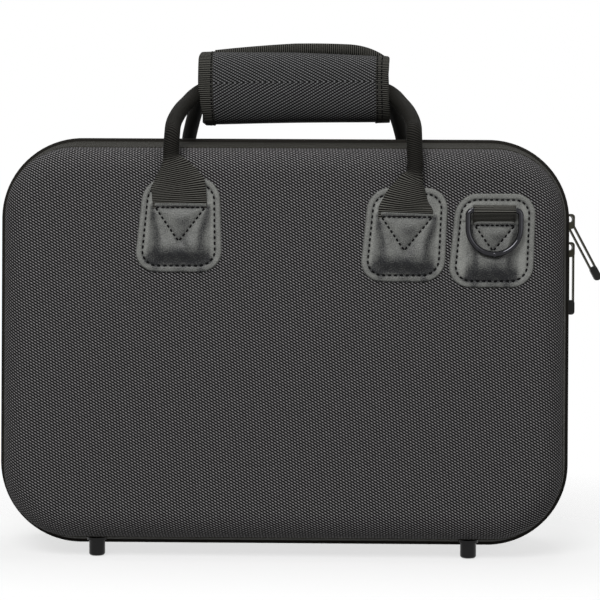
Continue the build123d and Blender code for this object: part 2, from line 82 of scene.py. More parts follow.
def add_node(tree, kind, *values, sockets=(), output=0, feeds=None, **settings):
    """Adds a node and gives one of its outputs, which may feed a socket at once.

    values are for its first sockets in turn, sockets are named. Each is a plain value, or the output
    of another node. All else is the node's own settings.
    """
    node = tree.nodes.new("ShaderNode" + kind)
    for key, value in settings.items():
        setattr(node, key, value)
    for key, value in [*enumerate(values), *dict(sockets).items()]:
        if isinstance(value, bpy.types.NodeSocket):
            tree.links.new(value, node.inputs[key])
        else:
            node.inputs[key].default_value = value
    result = node.outputs[output] if len(node.outputs) else None
    if feeds is not None:
        tree.links.new(result, feeds)
    return result


def new_material(name, **sockets):
    """A material with its main shader's sockets set. Gives it, its node adder and the shader's inputs."""
    material = bpy.data.materials.new(name)
    material.use_nodes = True
    shader = material.node_tree.nodes["Principled BSDF"]
    for key, value in sockets.items():
        shader.inputs[key.replace("_", " ")].default_value = value
    return material, functools.partial(add_node, material.node_tree), shader.inputs


def wave(node, millimetres, pitch, shift=0.0):
    """A smooth wave from 0 to 1 that repeats every pitch millimetres."""
    angle = node("Math", millimetres, math.tau / pitch, shift, operation="MULTIPLY_ADD")
    cosine = node("Math", angle, operation="COSINE")
    return node("Math", cosine, 0.5, 0.5, operation="MULTIPLY_ADD")


def thread_highlight_and_shade(node, place, height, sharpness, blotch=0.9, spread=0.9, least=0.5):
    """How light the threads are painted: painted highlight most on top of the relief, painted shade in the
    valleys, and uneven tone in blotches of that many mm.
    """
    blotches = node("TexNoise", sockets={"Vector": place, "Scale": 1 / blotch, "Detail": 2.0})
    uneven = node("Math", blotches, spread, least, operation="MULTIPLY_ADD")
    raised = node("Math", height, sharpness, operation="POWER")
    return node("Math", raised, uneven, operation="MULTIPLY")


def dress(node, shader, share, dark, light, height, relief):
    """Colours a surface from dark to light by a share, and raises it by a height, of relief mm."""
    node("Mix", sockets={"Factor": share, "A": colour(dark), "B": colour(light)},
         data_type="RGBA", output="Result", feeds=shader["Base Color"])
    node("Bump", sockets={"Height": height, "Distance": relief * MM}, feeds=shader["Normal"])


print("middle grey in linear light:", [round(c, 3) for c in colour("#808080")])

# %% [markdown]
# ## Coarse woven nylon
#
# The cover is a coarse two-ply nylon weave. What the eye gets is rows of small light knots on a nearly
# black ground, running down to the right. The knots' light is painted highlight and the black between
# them painted shade. Image textures could hold it, but waves made from the texture coordinates stay
# sharp at any distance. Rows of real thread are 0.8 mm apart. They are drawn 1.45 mm apart, which is as
# coarse as they need to be to show in the whole view of the case.

# %% Woven nylon of the cover
# nearly matte: the threads' sheen is painted into their colour instead
nylon_finish = {"Roughness": 0.65, "Specular_IOR_Level": 0.03}


def woven_nylon(row_pitch=1.45, knot_pitch=2.1, slant=32, relief=0.35):
    """Rows of knots. Each row is shifted half a knot against the row before."""
    material, node, shader = new_material("coarse_woven_nylon", **nylon_finish)
    place = node("UVMap", uv_map="weave_mm")
    turned = node("Mapping", sockets={"Vector": place, "Rotation": (0, 0, math.radians(slant))})
    along = node("SeparateXYZ", turned, output="X")
    across = node("SeparateXYZ", turned, output="Y")
    row_number = node("Math", node("Math", across, row_pitch, operation="DIVIDE"), operation="FLOOR")
    stagger = node("Math", row_number, math.pi, operation="MULTIPLY")
    rows = wave(node, across, row_pitch, math.pi)
    knots = wave(node, along, knot_pitch, stagger)
    knots = node("Math", knots, 0.5, 0.5, operation="MULTIPLY_ADD")
    height = node("Math", rows, knots, operation="MULTIPLY")
    # painted highlight on the knots' tops and painted shade between them
    share = thread_highlight_and_shade(node, place, height, sharpness=2.2, blotch=1.3, spread=1.1, least=0.45)
    dress(node, shader, share, "#020202", "#908e8f", height, relief)
    return material


nylon = woven_nylon()
print("made", nylon.name)

# %% [markdown]
# ## Tapes, webbing and herringbone
#
# Binding tape, webbing and zip tape are all ribbed nylon: low ridges across the tape's length with dark
# valleys. The ridges' light is painted highlight and the dark valleys painted shade. The grip is covered
# in a herringbone twill, whose diagonals turn back half-way up its front.
# Real ribs and twill lines are about 0.8 mm apart. Those of webbing, binding and grip are drawn coarser.

# %% Ribbed tapes and herringbone
def ribbed_nylon(name, pitch, dark, light, relief=0.25):
    """Ribs run across the tape, so they repeat along V."""
    material, node, shader = new_material(name, **nylon_finish)
    place = node("UVMap", uv_map="weave_mm")
    ribs = wave(node, node("SeparateXYZ", place, output="Y"), pitch)
    # painted highlight on the ribs' tops and painted shade between them
    share = thread_highlight_and_shade(node, place, ribs, sharpness=2.4)
    dress(node, shader, share, dark, light, ribs, relief)
    return material


def rolled_webbing(rib_pitch=1.15, grain_pitch=1.2, grain_slope=0.35, relief=0.2):
    """Ribs where the webbing lies flat. Rolled up tight, they close to a fine slanting grain."""
    material, node, shader = new_material("handle_webbing", **nylon_finish)
    place = node("UVMap", uv_map="weave_mm")
    across = node("SeparateXYZ", place, output="X")
    along = node("SeparateXYZ", place, output="Y")
    rolled = node("Attribute", attribute_name="rolled", output="Fac")
    ribs = wave(node, along, rib_pitch)
    slant = node("Math", across, grain_slope, along, operation="MULTIPLY_ADD")
    grain = wave(node, slant, grain_pitch)
    # painted highlight on the ribs and grain, painted shade between them
    lit_ribs = thread_highlight_and_shade(node, place, ribs, sharpness=2.4)
    lit_grain = thread_highlight_and_shade(node, place, grain, sharpness=1.0)
    flat = node("Mix", sockets={"Factor": lit_ribs, "A": colour("#020201"), "B": colour("#5f5e59")},
                data_type="RGBA", output="Result")
    tight = node("Mix", sockets={"Factor": lit_grain, "A": colour("#010101"), "B": colour("#2a2926")},
                 data_type="RGBA", output="Result")
    node("Mix", sockets={"Factor": rolled, "A": flat, "B": tight},
         data_type="RGBA", output="Result", feeds=shader["Base Color"])
    height = node("Mix", sockets={"Factor": rolled, "A": ribs, "B": grain},
                  data_type="FLOAT", output="Result")
    node("Bump", sockets={"Height": height, "Distance": relief * MM}, feeds=shader["Normal"])
    return material


def herringbone_nylon(turn_height=31.0, pitch=1.9, slope=0.56, cross_pitch=1.8, cross_slope=0.85,
                      relief=0.3):
    """Slanting rows of knots that turn back at turn_height, in mm along V."""
    material, node, shader = new_material("herringbone_nylon", **nylon_finish)
    place = node("UVMap", uv_map="weave_mm")
    along = node("SeparateXYZ", place, output="X")
    above_turn = node("Math", node("SeparateXYZ", place, output="Y"), turn_height, operation="SUBTRACT")
    from_turn = node("Math", above_turn, operation="ABSOLUTE")
    to_turn = node("Math", from_turn, -1, operation="MULTIPLY")
    rows = wave(node, node("Math", along, slope, from_turn, operation="MULTIPLY_ADD"), pitch)
    knots = wave(node, node("Math", along, cross_slope, to_turn, operation="MULTIPLY_ADD"), cross_pitch)
    knots = node("Math", knots, 0.6, 0.4, operation="MULTIPLY_ADD")
    height = node("Math", rows, knots, operation="MULTIPLY")
    # painted highlight on the twill's knots, painted shade between them
    share = thread_highlight_and_shade(node, place, height, sharpness=1.6, blotch=1.2)
    dress(node, shader, share, "#020202", "#787879", height, relief)
    return material


webbing = ribbed_nylon("ribbed_webbing", 1.15, "#020201", "#6a6964")
leg_webbing = rolled_webbing()
binding_tape = ribbed_nylon("ribbed_binding_tape", 1.2, "#020202", "#595853")
gusset_cloth = ribbed_nylon("smooth_gusset_cloth", 0.7, "#1e1d1a", "#302f2a", relief=0.05)
rim_tape = ribbed_nylon("smooth_rim_tape", 0.8, "#171614", "#282623", relief=0.06)
zip_cloth = ribbed_nylon("woven_zip_tape", 0.9, "#151515", "#2c2c2c", relief=0.1)
herringbone = herringbone_nylon()
print("made tapes, webbing and", herringbone.name)

# %% [markdown]
# ## Leather and plush
#
# The patches are split leather with a pressed grain and a soft coat, so they shine broadly, not sharply.
# Plush drinks light and glows at its edges: that is sheen.

# %% Leather and plush
def pressed_leather(grain_width=0.9, relief=0.14):
    """Painted shade: the colour is darker where the leather falls away from the light, over the pocket's
    fall, its flanks and the stitch grooves. The attribute says how light it is.
    """
    material, node, shader = new_material(
        "pressed_grey_leather", Roughness=0.45, Specular_IOR_Level=0.25)
    place = node("UVMap", uv_map="weave_mm")
    cells = node("TexVoronoi", sockets={"Vector": place, "Scale": 1 / grain_width, "Randomness": 1.0},
                 output="Distance")
    speckle = node("TexNoise", sockets={"Vector": place, "Scale": 1 / 0.7, "Detail": 3.0})
    clouds = node("TexNoise", sockets={"Vector": place, "Scale": 1 / 6.0, "Detail": 4.0})
    # painted shade: the attribute darkens the leather where its surface falls away from the light
    painted_shading = node("Attribute", attribute_name="painted_shading", output="Fac")
    clouds = node("Math", clouds, 0.5, -0.25, operation="MULTIPLY_ADD")
    grain = node("Math", speckle, 1.1, -0.55, operation="MULTIPLY_ADD")
    share = node("Math", node("Math", painted_shading, grain, operation="ADD"), clouds, operation="ADD")
    node("Math", speckle, 0.3, 0.3, operation="MULTIPLY_ADD", feeds=shader["Roughness"])
    dress(node, shader, share, "#090a0e", "#7f807c", cells, relief)
    return material


def plush(pile_width=1.2, stroke_width=18, relief=0.5):
    """Short pile, brushed one way and the other in strokes a finger wide."""
    material, node, shader = new_material(
        "short_black_plush", Roughness=0.95, Specular_IOR_Level=0.1,
        Sheen_Weight=0.6, Sheen_Roughness=0.4, Sheen_Tint=colour("#8a8a92"))
    place = node("TexCoord", output="Object")
    pile = node("TexNoise", sockets={"Vector": place, "Scale": 1 / (pile_width * MM), "Detail": 3.0})
    strokes = node("TexNoise", sockets={"Vector": place, "Scale": 1 / (stroke_width * MM),
                                        "Detail": 2.0})
    faint_pile = node("Math", pile, 0.3, operation="MULTIPLY")
    share = node("Math", strokes, 0.7, faint_pile, operation="MULTIPLY_ADD")
    dress(node, shader, share, "#0c0c0d", "#29292c", pile, relief)
    return material


leather = pressed_leather()
black_plush = plush()
print("made", leather.name, "and", black_plush.name)

# %% [markdown]
# ## Metals and moulded parts
#
# Nickel and zinc are plated: mirrors with a little tarnish, whose colour is that of the reflection.
# Moulded plastic takes its grain from the mould, and its shine from how finely the mould was polished.

# %% Metals and moulded parts
def grained_finish(name, dark, light, spread, grain, relief, **sockets):
    """Dark and light in clouds of spread mm, with a relief of grain mm."""
    material, node, shader = new_material(name, **sockets)
    place = node("TexCoord", output="Object")
    clouds = node("TexNoise", sockets={"Vector": place, "Scale": 1 / (spread * MM), "Detail": 3.0})
    surface = clouds
    if grain != spread:
        surface = node("TexNoise", sockets={"Vector": place, "Scale": 1 / (grain * MM), "Detail": 2.0})
    dress(node, shader, clouds, dark, light, surface, relief)
    return material


def plated_metal(name, dark, light, roughness, relief):
    """Tarnish in clouds of 4 mm over a barely uneven plate."""
    return grained_finish(name, dark, light, 4, 0.6, relief, Metallic=1.0, Roughness=roughness)


def moulded_plastic(name, dark, light, roughness, grain, relief, gloss=0.5):
    return grained_finish(name, dark, light, grain, grain, relief, Roughness=roughness, IOR=1.5,
                          Specular_IOR_Level=gloss)


nickel = plated_metal("dark_nickel_plate", "#29292b", "#37373a", 0.05, 0.001)
zip_metal = plated_metal("gunmetal_plated_zinc", "#24231d", "#37362e", 0.2, 0.006)
steel = plated_metal("zinc_plated_steel", "#8f9092", "#a9aaac", 0.35, 0.02)
thread = moulded_plastic("waxed_black_thread", "#030304", "#0c0c0d", 0.7, 0.4, 0.05, gloss=0.05)
foot_plastic = moulded_plastic("glossy_moulded_foot", "#030303", "#0a0a0b", 0.2, 2.0, 0.01, gloss=0.22)
tip_plastic = moulded_plastic("soft_moulded_tip", "#060606", "#121210", 0.4, 0.5, 0.03, gloss=0.15)
coil_nylon = moulded_plastic("zip_coil_nylon", "#0e0e0e", "#1d1d1d", 0.35, 1.0, 0.03)
shell_foam = moulded_plastic("moulded_shell_foam", "#1d1d1e", "#29292a", 0.8, 1.2, 0.1)
hook_tape = moulded_plastic("hook_and_loop_tape", "#0c0c0c", "#222223", 0.9, 0.7, 0.4)
print("made metals and plastics")

# %% [markdown]
# ## Meshes
#
# Soft shapes are made from grids of points worked out with numpy: it is the plainest way to follow a
# formula. Texture coordinates are written in millimetres, so a pattern's scale is a real size.

# %% Meshes
def grid_faces(rows, columns, close_rows=False, close_columns=False, first=0):
    """Four-sided faces of a grid of points, stored row after row, starting with point number first."""
    faces = []
    for i in range(rows if close_rows else rows - 1):
        for j in range(columns if close_columns else columns - 1):
            k, l = (i + 1) % rows, (j + 1) % columns
            corners = (i * columns + j, i * columns + l, k * columns + l, k * columns + j)
            faces.append(tuple(first + corner for corner in corners))
    return faces


def make_piece(name, points, faces, material, body=None, uvs=None, stands_for=()):
    """A smooth mesh object of the case, riding on a body and standing for CAD nodes."""
    mesh = bpy.data.meshes.new(name)
    mesh.from_pydata([tuple(p) for p in points], [], faces)
    if uvs is not None:
        layer = mesh.uv_layers.new(name="weave_mm")
        corners = np.zeros(len(mesh.loops), int)
        mesh.loops.foreach_get("vertex_index", corners)
        layer.data.foreach_set("uv", np.asarray(uvs, float)[corners].ravel())
    shape = bmesh.new()
    shape.from_mesh(mesh)
    bmesh.ops.recalc_face_normals(shape, faces=shape.faces)
    shape.to_mesh(mesh)
    shape.free()
    mesh.shade_smooth()
    piece = bpy.data.objects.new(name, mesh)
    bpy.context.scene.collection.objects.link(piece)
    mesh.materials.append(material)
    if body:
        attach(piece, body)
    if stands_for:
        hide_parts(*stands_for)
    return piece


print("a grid of 3 rows and 4 columns has", len(grid_faces(3, 4)), "faces")

# %% [markdown]
# ## The rim as a path
#
# Both halves meet along a rounded rectangle. Everything that follows the rim, such as the cover, binding,
# tape and teeth, asks one function for its place, given a distance along the rim from the bottom middle.

# %% Rim path
rim_low, rim_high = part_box("lid_binding")
cover_low, cover_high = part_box("lid_cover")
rim_half_width, rim_half_height = rim_high.x, (rim_high.z - rim_low.z) / 2
rim_centre_z = (rim_high.z + rim_low.z) / 2
rim_radius = 50 * MM  # to the outside of the binding
straight_x, straight_z = rim_half_width - rim_radius, rim_half_height - rim_radius
corner_length = rim_radius * math.pi / 2
rim_runs = [straight_x, corner_length, 2 * straight_z, corner_length, 2 * straight_x,
            corner_length, 2 * straight_z, corner_length, straight_x]
rim_length = sum(rim_runs)
rim_centres = [(0, -1), (1, -1), (1, 1), (-1, 1), (-1, -1)]  # the bottom middle, then the corners


def rim_place(distance, inset=0.0):
    """Point (x, z) and outward normal of the rim, anticlockwise from the bottom middle."""
    rest = distance % rim_length
    number = 0
    while rest > rim_runs[number] and number < len(rim_runs) - 1:
        rest -= rim_runs[number]
        number += 1
    is_straight = number % 2 == 0
    turn = (number // 2 - 1) * math.pi / 2 + (0 if is_straight else rest / rim_radius)
    normal_x, normal_z = math.cos(turn), math.sin(turn)
    past_centre = rest if is_straight else 0
    side_x, side_z = rim_centres[(number + 1) // 2]
    x = side_x * straight_x + normal_x * (rim_radius - inset) - normal_z * past_centre
    z = side_z * straight_z + normal_z * (rim_radius - inset) + normal_x * past_centre
    return x, z + rim_centre_z, normal_x, normal_z


def rim_stops(first, last, step):
    count = max(2, round((last - first) / step))
    return [first + (last - first) * i / count for i in range(count + 1)]


def running_lengths(points):
    """How far along a line each of its points is."""
    return np.cumsum([0.0] + [math.dist(a, b) for a, b in zip(points, points[1:])])


print("rim length, mm:", round(rim_length / MM))

# %% [markdown]
# ## The shell covers
#
# Each cover starts at the rim, runs up the side at a slight draft, turns over a large round and fills the
# face. It is a stack of rings, closed by one flat face. The weave's coordinates run flat over the face
# and carry on down the sides, as cloth pulled over a mould does.

# %% Shell covers
half_depth = -cover_low.y
cover_rim_inset = rim_half_width - cover_high.x
cover_rim_depth = -cover_high.y
draft = math.radians(11.5)
edge_round = 18 * MM
seam_angle = math.radians(19)  # where on the round the face's weave is sewn to the smooth gusset
seam_groove = {seam_angle - 0.035: 0.15, seam_angle: -0.55, seam_angle + 0.035: 0.0}  # mm in or out
seam_clearance = 0.05
side_rings, round_rings = 8, 16
cover_thickness = 1.6 * MM


def shell_profile(offset=0.0, seam=True):
    """Rings of (inset, depth, distance from the flat face) from the rim inwards, and the seam's number."""
    radius = edge_round - offset
    face_depth = half_depth - offset
    round_depth = face_depth - radius
    rim_inset = cover_rim_inset + offset
    round_inset = (rim_inset + (round_depth - cover_rim_depth) * math.tan(draft)
                   + radius / math.cos(draft))
    side_inset = round_inset - radius * math.cos(draft)
    side_depth = round_depth + radius * math.sin(draft)
    shares = [i / side_rings for i in range(side_rings + 1)]
    rings = [(rim_inset + (side_inset - rim_inset) * share,
              cover_rim_depth + (side_depth - cover_rim_depth) * share) for share in shares]
    groove = seam_groove if seam else {}
    angles = [draft + (math.pi / 2 - draft) * i / round_rings for i in range(1, round_rings + 1)]
    angles = [angle for angle in angles if not seam or abs(angle - seam_angle) > seam_clearance]
    angles = sorted(angles + list(groove))
    for angle in angles:
        reach = radius + groove.get(angle, 0.0) * MM
        rings.append((round_inset - reach * math.cos(angle), round_depth + reach * math.sin(angle)))
    rings += [(round_inset + 9 * MM, face_depth), (round_inset + 18 * MM, face_depth)]
    lengths = running_lengths(rings[::-1])[::-1]
    seam_ring = side_rings + angles.index(seam_angle) + 1 if seam else 0
    return [(*ring, length) for ring, length in zip(rings, lengths)], seam_ring


def add_thickness(piece, thickness, offset=0):
    """Gives a surface the thickness of its cloth: offset 0 keeps it in the middle, -1 grows inwards."""
    cloth = piece.modifiers.new("cloth_thickness", "SOLIDIFY")
    cloth.thickness = thickness
    cloth.offset = offset


def shell_skin(name, facing, body, offset, thickness, material, nodes, seam=True):
    """One layer of a half, as rings round the rim closed by one flat face."""
    rings, seam_ring = shell_profile(offset, seam)
    stops = rim_stops(0, rim_length, 5 * MM)[:-1]
    last_inset = rings[-1][0]
    points, uvs = [], []
    for inset, depth, length in rings:
        for distance in stops:
            x, z, _, _ = rim_place(distance, inset)
            points.append((x, facing * depth, z))
            flat_x, flat_z, _, _ = rim_place(distance, last_inset - length)
            uvs.append((-facing * flat_x / MM, flat_z / MM))
    faces = grid_faces(len(rings), len(stops), close_columns=True)
    first = (len(rings) - 1) * len(stops)
    faces.append(tuple(range(first, first + len(stops))))
    piece = make_piece(name, points, faces, material, body, uvs, nodes)
    if seam:
        piece.data.materials.append(gusset_cloth)
        for face in piece.data.polygons:
            if face.index < seam_ring * len(stops):
                face.material_index = 1
    add_thickness(piece, thickness, -1)
    return piece


# The lid is the front half and the base the rear half: their side's name, facing along Y, and body.
halves = (("front", -1, "lid"), ("rear", 1, "base"))
for side, facing, body in halves:
    cover = shell_skin(f"{side}_cover", facing, body, 0.0, cover_thickness, nylon,
                       [f"{body}_cover"])
    print(cover.name, len(cover.data.vertices), "points")

# %% [markdown]
# ## Patches of leather
#
# Each patch is a height field over a rounded shape: a cut edge, a groove where the border stitches pull
# the leather down, and a soft swelling inside. The webbing's end lifts the part below the slot, the V of
# stitches presses a valley into it, and the lip above stays flat.

# %% Helpers for soft shapes
def smooth(value, low, high):
    """0 below low, 1 above high, with a soft start and end."""
    share = np.clip((value - low) / (high - low), 0, 1)
    return share * share * (3 - 2 * share)


def ridge(distance, width):
    """Bell-shaped ridge of a given width over a distance."""
    return np.exp(-((distance / width) ** 2))


def rounded_distance(u, v, half_u, half_v, radius):
    """Distance to a rounded rectangle's edge, negative inside."""
    over_u = np.abs(u) - half_u + radius
    over_v = np.abs(v) - half_v + radius
    outside = np.hypot(np.maximum(over_u, 0), np.maximum(over_v, 0))
    return outside + np.minimum(np.maximum(over_u, over_v), 0) - radius


def line_distance(u, v, start, end):
    """Distance to a straight line of stitches."""
    along_u, along_v = end[0] - start[0], end[1] - start[1]
    share = ((u - start[0]) * along_u + (v - start[1]) * along_v) / (along_u ** 2 + along_v ** 2)
    share = np.clip(share, 0, 1)
    return np.hypot(u - start[0] - share * along_u, v - start[1] - share * along_v)


def rounded_rows(v_lines, half_u, half_v, radius, columns):
    """(u, v) of a grid that fills a rounded rectangle: every row runs from edge to edge."""
    over = np.maximum(np.abs(v_lines) - half_v + radius, 0)
    width = half_u - radius + np.sqrt(radius ** 2 - over ** 2)
    u = width[:, None] * np.linspace(-1, 1, columns)
    return u, v_lines[:, None] + 0 * u


print("half-way up a soft step:", smooth(0.5, 0, 1))

# %% Shape of the leather, in millimetres
leather_thickness, cut_edge = 1.5, 0.9
border_inset, border_pitch = 3.8, 3.35  # of the stitches round the edge
row_drop, row_pitch = 2.3, 2.9          # of the stitches under the lip
point_pitch = 3.1                       # of the stitches of the V
stitch_half_length, stitch_lift = 1.0, 0.12
pocket_rise, pocket_side = 2.1, 2.6     # where the webbing's end lifts the leather
pocket_end = (28.8, 35.0)               # it falls to the border between these, below the lip
webbing_taper = 20                      # the end is narrower from there


class Patch:
    """Where a patch sits and what shape its leather takes. Sizes in millimetres, v upwards."""
    half_u, half_v, corner = 24.3, 27.7, 13.0

    def __init__(self, node, lip, half_pocket, half_row, apex, tilt, lean, flare):
        low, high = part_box(node)
        self.facing = -1 if low.y < 0 else 1
        self.centre_x, self.centre_z = (low.x + high.x) / 2, (low.z + high.z) / 2
        self.lip, self.half_pocket, self.tilt = lip, half_pocket, -self.facing * tilt
        self.lean, self.flare = -self.facing * lean, flare
        self.row = [(-half_row, lip - row_drop), (half_row, lip - row_drop)]
        self.apex = (0.0, apex)

    def lip_at(self, u):
        return self.lip - self.tilt * u

    def from_edge(self, u, v):
        return -rounded_distance(u, v, self.half_u, self.half_v, self.corner)

    def height(self, u, v):
        """Height of the leather above the case's face."""
        edge = self.from_edge(u, v)
        base = leather_thickness * np.sqrt(1 - (1 - np.clip(edge / cut_edge, 0, 1)) ** 2)
        groove = -0.55 * ridge(edge - border_inset, 0.8)
        below_lip = self.lip_at(u) - v
        half_pocket = self.half_pocket - pocket_side * smooth(below_lip, 3, webbing_taper)
        sides = smooth(half_pocket + pocket_side - np.abs(u), 0, 7.5)
        fall = (1 - smooth(below_lip, *pocket_end)) * (below_lip > 0)
        seams = [(self.row[0], self.apex), (self.row[1], self.apex), self.row]
        seam = np.min([line_distance(u, v, *ends) for ends in seams], axis=0)
        swell = sides * fall * (pocket_rise + 0.7 * smooth(seam, 0.3, 7.0))
        belly = 0.9 * ridge(below_lip - 25.5, 5.5) * smooth(self.half_pocket - np.abs(u), -2, 5)
        above_lip = 0.35 * smooth(edge, 4.2, 7.0) * (below_lip <= 0)
        crease = 0.16 * np.sin(u * 0.9 + v * 0.35) * ridge(below_lip - 22, 6.0)
        pressed = -0.7 * ridge(seam, 0.9)
        return base + groove + swell + belly + above_lip + sides * (crease + pressed)

    def painted_shading(self, u, v):
        """Painted shade of the leather: 1 on the flat, near 0 where its surface falls away from the light, at
        the pocket's fall, flanks, the stitch row, the middle of the V and the border's groove.
        """
        edge = self.from_edge(u, v)
        below_lip = self.lip_at(u) - v
        inside = smooth(self.half_pocket - np.abs(u), -3.5, 1.5) * (below_lip > 0)
        fall = smooth(below_lip, 22.5, 33.0) * (1 - smooth(below_lip, 34.5, 36.5)) * inside
        half_pocket = self.half_pocket - 0.6 - 4.4 * smooth(below_lip, 2, 22)
        flank = ridge(np.abs(u) - half_pocket, 2.4) * smooth(below_lip, 1.0, 6.0) * (below_lip > 0)
        row = ridge(below_lip - row_drop, 1.1) * smooth(self.half_pocket + 1.5 - np.abs(u), 0, 1.5)
        middle = ridge(u - 2.5, 5.0) * smooth(below_lip, 4.0, 10.0) * inside
        flat_side = smooth(np.abs(u), self.half_pocket - 0.5, self.half_pocket + 2.0) * (edge > border_inset)
        # painted shade: lighter on the flat sides, darker inside the pocket, on its fall, flanks, stitch row,
        # middle and the border's stitch groove
        light = 0.6 + 0.22 * flat_side - 0.12 * inside
        light -= 0.56 * fall + 0.34 * flank * (1 - fall) + 0.4 * row + 0.24 * middle * (1 - fall)
        return np.clip(light - 0.3 * ridge(edge - border_inset, 0.7), 0.02, 1)

    def place(self, u, v, height):
        """A point of the leather, in metres. Cut and sewn by hand, no patch is quite square."""
        u = u + v * (self.lean - self.flare * u / self.half_u)
        x = self.centre_x - self.facing * u * MM
        y = self.facing * (half_depth + height * MM)
        return x, y, self.centre_z + v * MM


print("leather", leather_thickness, "mm thick")


# %% Leather patches
def add_values(piece, name, values):
    """Gives every point of a mesh a number that its material can read."""
    layer = piece.data.attributes.new(name, "FLOAT", "POINT")
    layer.data.foreach_set("value", np.asarray(values, float))


def patch_mesh(patch, name, body, node, rows=113, columns=99, crowding=0.9):
    """A grid whose rows crowd towards the top and bottom, with two of them close together at the lip."""
    quarter = math.pi / 2 * crowding
    v_lines = patch.half_v * np.sin(np.linspace(-1, 1, rows) * quarter) / math.sin(quarter)
    lip_row = np.argmin(np.abs(v_lines - patch.lip))
    v_lines[lip_row:lip_row + 2] = patch.lip - 0.03, patch.lip + 0.03
    u, v = rounded_rows(v_lines, patch.half_u, patch.half_v, patch.corner, columns)
    v = v - patch.tilt * u * ridge(v - patch.lip, 8)
    height = patch.height(u, v)
    points = [patch.place(*values) for values in zip(u.ravel(), v.ravel(), height.ravel())]
    uvs = np.column_stack([u.ravel(), v.ravel()])
    piece = make_piece(name, points, grid_faces(rows, columns), leather, body, uvs, [node])
    # the leather's painted shade, one value per point
    add_values(piece, "painted_shading", patch.painted_shading(u, v).ravel())
    return piece


patches = {}
for _, _, body in halves:
    # lip, half pocket, half row, apex, tilt of the lip, lean and flare of the outline
    for place, numbers in (("left", (12.7, 17.5, 15.0, -9.5, 0.0, 0.039, 0.067)),
                           ("right", (12.7, 17.5, 15.0, -9.3, 0.0376, 0.07, 0.03)),
                           ("ring", (11.1, 14.5, 11.8, -6.3, 0.0, 0.065, 0.035))):
        patches[f"{body}_{place}_patch"] = Patch(f"{body}_{place}_patch", *numbers)
print(len(patches), "patches placed")


# %% Stitches
def border_places(patch, inset, pitch):
    """Evenly spaced (u, v, direction) along the patch's border."""
    half_u, half_v, corner = patch.half_u - inset, patch.half_v - inset, patch.corner - inset
    outline = []
    for number, (side_u, side_v) in enumerate([(1, 1), (-1, 1), (-1, -1), (1, -1)]):
        for turn in np.linspace(0, math.pi / 2, 12):
            angle = number * math.pi / 2 + turn
            outline.append((side_u * (half_u - corner) + corner * math.cos(angle),
                            side_v * (half_v - corner) + corner * math.sin(angle)))
    return line_places(outline + outline[:1], pitch)


def line_places(points, pitch):
    """Evenly spaced (u, v, direction) along a line with corners."""
    lengths = running_lengths(points)
    count = max(1, round(lengths[-1] / pitch))
    places = []
    for length in (np.arange(count) + 0.5) * lengths[-1] / count:
        i = np.searchsorted(lengths, length) - 1
        start, step = np.array(points[i]), np.subtract(points[i + 1], points[i])
        u, v = start + step * (length - lengths[i]) / (lengths[i + 1] - lengths[i])
        places.append((u, v, math.atan2(step[1], step[0])))
    return places


def add_stitch(points, faces, sections):
    """One stitch is a bar of thread through six-sided sections, thinner at both ends."""
    faces += grid_faces(len(sections), 6, close_columns=True, first=len(points))
    for section in sections:
        points += section


def stitches(patch, name, body):
    """One short thick bar of thread for every stitch, lying in its groove."""
    places = border_places(patch, border_inset, border_pitch)
    places += line_places(patch.row, row_pitch)
    places += line_places([patch.row[0], patch.apex, patch.row[1]], point_pitch)
    points, faces = [], []
    for u, v, direction in places:
        along, aside = math.cos(direction), math.sin(direction)
        height = patch.height(u, v) + stitch_lift
        sections = []
        for share, radius in ((-1.0, 0.2), (-0.7, 0.55), (0, 0.64), (0.7, 0.55), (1.0, 0.2)):
            step = share * stitch_half_length
            sections.append([patch.place(u + step * along - side * radius * aside,
                                         v + step * aside + side * radius * along,
                                         height + lift * radius) for side, lift in six_sides])
        add_stitch(points, faces, sections)
    return make_piece(name, points, faces, thread, body)


six_sides = [(math.cos(k * math.pi / 3), math.sin(k * math.pi / 3)) for k in range(6)]
for side, _, body in halves:
    for place in ("left", "right", "ring"):
        node = f"{body}_{place}_patch"
        piece = patch_mesh(patches[node], f"{side}_{place}_patch", body, node)
        sewn = stitches(patches[node], f"{side}_{place}_stitches", body)
        print(piece.name, len(piece.data.vertices), "points, stitches", len(sewn.data.vertices))

# %% [markdown]
# ## Webbing that rolls up into a handle
#
# Each leg starts as flat webbing under the patch's lip. A few centimetres higher its edges have curled
# back until they meet, and it is a tube. One curl number, from flat to closed, drives the cross-section,
# and the section is carried along a smooth path into the grip's end.

# %% Paths
def smooth_path(points, count, fine_steps=24):
    """Even steps along a Catmull-Rom curve through points."""
    points = [Vector(p) for p in points]
    points = [2 * points[0] - points[1]] + points + [2 * points[-1] - points[-2]]
    fine = []
    for a, b, c, d in zip(points, points[1:], points[2:], points[3:]):
        for t in np.arange(fine_steps) / fine_steps:
            fine.append(0.5 * ((2 * b) + (c - a) * t + (2 * a - 5 * b + 4 * c - d) * t * t
                               + (3 * b - a - 3 * c + d) * t ** 3))
    fine.append(points[-2])
    lengths = np.concatenate([[0], np.cumsum([(q - p).length for p, q in zip(fine, fine[1:])])])
    wanted = np.linspace(0, lengths[-1], count)
    return [Vector([np.interp(w, lengths, [p[k] for p in fine]) for k in range(3)]) for w in wanted]


def carried_frames(path, side):
    """Side and front directions along a path, turned as little as possible."""
    frames = []
    for i, point in enumerate(path):
        ahead = path[min(i + 1, len(path) - 1)] - path[max(i - 1, 0)]
        ahead.normalize()
        side = (side - ahead * side.dot(ahead)).normalized()
        frames.append((side, ahead.cross(side)))
    return frames


print("a path of three points:", smooth_path([(0, 0, 0), (1, 0, 0), (1, 1, 0)], 3))

